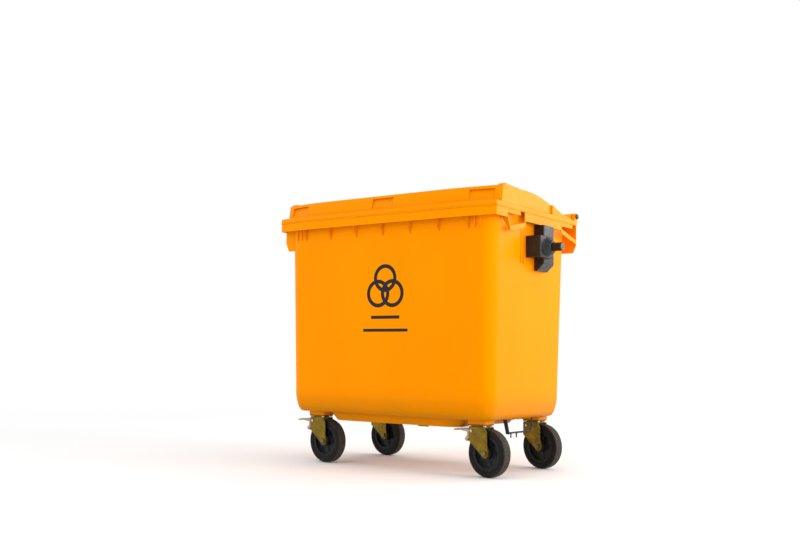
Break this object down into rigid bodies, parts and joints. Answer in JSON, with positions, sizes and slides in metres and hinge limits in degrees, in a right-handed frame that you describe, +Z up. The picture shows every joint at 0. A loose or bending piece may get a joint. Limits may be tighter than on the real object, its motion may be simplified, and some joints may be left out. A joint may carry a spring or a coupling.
{
  "type": "wheeled waste container",
  "caption": "Large moulded clinical-waste container with a domed hinged lid, side lifting trunnions, end hand loops, a drain plug and swivel castors, the front pair braked.",
  "frame": {"origin": "on the floor, under the centre of the whole container's box with the lid closed", "axes": "+Z up, -Y the front that carries the printed mark, +X the right-hand end seen from the front"},
  "size_m": [1.416, 0.8, 1.223],
  "materials": {
    "container_shell": "moulded, semi-gloss",
    "lid_shell": "moulded, semi-gloss",
    "trunnion_casting": "fine texture, slight sheen",
    "trunnion_steel": "dark, worn at the end",
    "zinc_steel": "zinc plated",
    "backplate_steel": "zinc plated",
    "hinge_pin": "smooth",
    "fork_steel": "yellow-passivated zinc",
    "plate_steel": "black, satin",
    "kingpin_steel": "satin",
    "ball_steel": "polished",
    "tyre_rubber": "matt, with a worn tread",
    "hub_plastic": "moulded, satin",
    "bearing_steel": "bright",
    "pedal_steel": "zinc plated",
    "shoe_rubber": "matt",
    "bar_steel": "zinc plated, dull",
    "strap_steel": "black, satin",
    "drain_plastic": "moulded, semi-gloss",
    "seal_rubber": "matt",
    "mark_ink": "printed film"
  },
  "bodies": {
    "container": {"container_body": "container_shell", "container_rim": "container_shell", "front_mark": "mark_ink", "foot_bar": "bar_steel", "bar_strap": "strap_steel", "trunnion_bracket_right": "trunnion_casting", "trunnion_pin_right": "trunnion_steel", "trunnion_backplate_right": "backplate_steel", "trunnion_bolts_right": "zinc_steel", "hinge_pin_right": "hinge_pin", "trunnion_bracket_left": "trunnion_casting", "trunnion_pin_left": "trunnion_steel", "trunnion_backplate_left": "backplate_steel", "trunnion_bolts_left": "zinc_steel", "hinge_pin_left": "hinge_pin", "castor_plate_fl": "plate_steel", "castor_bolts_fl": "zinc_steel", "kingpin_fl": "kingpin_steel", "swivel_balls_fl": "ball_steel", "castor_plate_fr": "plate_steel", "castor_bolts_fr": "zinc_steel", "kingpin_fr": "kingpin_steel", "swivel_balls_fr": "ball_steel", "castor_plate_rl": "plate_steel", "castor_bolts_rl": "zinc_steel", "kingpin_rl": "kingpin_steel", "swivel_balls_rl": "ball_steel", "castor_plate_rr": "plate_steel", "castor_bolts_rr": "zinc_steel", "kingpin_rr": "kingpin_steel", "swivel_balls_rr": "ball_steel"},
    "lid": {"lid": "lid_shell"},
    "drain": {"drain_plug": "drain_plastic", "drain_seal": "seal_rubber"},
    "castor_fl": {"fork_fl": "fork_steel", "axle_bolt_fl": "zinc_steel", "brake_pivot_fl": "zinc_steel"},
    "wheel_fl": {"tyre_fl": "tyre_rubber", "wheel_hub_fl": "hub_plastic", "wheel_bearing_fl": "bearing_steel"},
    "brake_fl": {"brake_pedal_fl": "pedal_steel", "brake_shoe_fl": "shoe_rubber"},
    "castor_fr": {"fork_fr": "fork_steel", "axle_bolt_fr": "zinc_steel", "brake_pivot_fr": "zinc_steel"},
    "wheel_fr": {"tyre_fr": "tyre_rubber", "wheel_hub_fr": "hub_plastic", "wheel_bearing_fr": "bearing_steel"},
    "brake_fr": {"brake_pedal_fr": "pedal_steel", "brake_shoe_fr": "shoe_rubber"},
    "castor_rl": {"fork_rl": "fork_steel", "axle_bolt_rl": "zinc_steel"},
    "wheel_rl": {"tyre_rl": "tyre_rubber", "wheel_hub_rl": "hub_plastic", "wheel_bearing_rl": "bearing_steel"},
    "castor_rr": {"fork_rr": "fork_steel", "axle_bolt_rr": "zinc_steel"},
    "wheel_rr": {"tyre_rr": "tyre_rubber", "wheel_hub_rr": "hub_plastic", "wheel_bearing_rr": "bearing_steel"}
  },
  "joints": [
    {"name": "lid_hinge", "type": "hinge", "parent": "container", "child": "lid", "pos_m": [0, 0.384, 1.168], "axis": [-1, 0, 0], "range_deg": [0, 270]},
    {"name": "drain_plug_turn", "type": "hinge", "parent": "container", "child": "drain", "pos_m": [0, -0.024, 0.2], "axis": [0, 0, 1], "range_deg": [0, 90]},
    {"name": "castor_swivel_fl", "type": "hinge", "parent": "container", "child": "castor_fl", "pos_m": [-0.441, -0.237, 0.2035], "axis": [0, 0, 1], "continuous": true},
    {"name": "wheel_spin_fl", "type": "hinge", "parent": "castor_fl", "child": "wheel_fl", "pos_m": [-0.39517, -0.24101, 0.1], "axis": [0.0872, 0.9962, 0], "continuous": true},
    {"name": "brake_press_fl", "type": "hinge", "parent": "castor_fl", "child": "brake_fl", "pos_m": [-0.46989, -0.23447, 0.19], "axis": [-0.0872, -0.9962, 0], "range_deg": [0, 12]},
    {"name": "castor_swivel_fr", "type": "hinge", "parent": "container", "child": "castor_fr", "pos_m": [0.441, -0.237, 0.2035], "axis": [0, 0, 1], "continuous": true},
    {"name": "wheel_spin_fr", "type": "hinge", "parent": "castor_fr", "child": "wheel_fr", "pos_m": [0.48643, -0.2442, 0.1], "axis": [0.1564, 0.9877, 0], "continuous": true},
    {"name": "brake_press_fr", "type": "hinge", "parent": "castor_fr", "child": "brake_fr", "pos_m": [0.41236, -0.23246, 0.19], "axis": [-0.1564, -0.9877, 0], "range_deg": [0, 12]},
    {"name": "castor_swivel_rl", "type": "hinge", "parent": "container", "child": "castor_rl", "pos_m": [-0.441, 0.237, 0.2035], "axis": [0, 0, 1], "continuous": true},
    {"name": "wheel_spin_rl", "type": "hinge", "parent": "castor_rl", "child": "wheel_rl", "pos_m": [-0.39517, 0.23299, 0.1], "axis": [0.0872, 0.9962, 0], "continuous": true},
    {"name": "castor_swivel_rr", "type": "hinge", "parent": "container", "child": "castor_rr", "pos_m": [0.441, 0.237, 0.2035], "axis": [0, 0, 1], "continuous": true},
    {"name": "wheel_spin_rr", "type": "hinge", "parent": "castor_rr", "child": "wheel_rr", "pos_m": [0.486, 0.22744, 0.1], "axis": [0.2079, 0.9781, 0], "continuous": true}
  ]
}
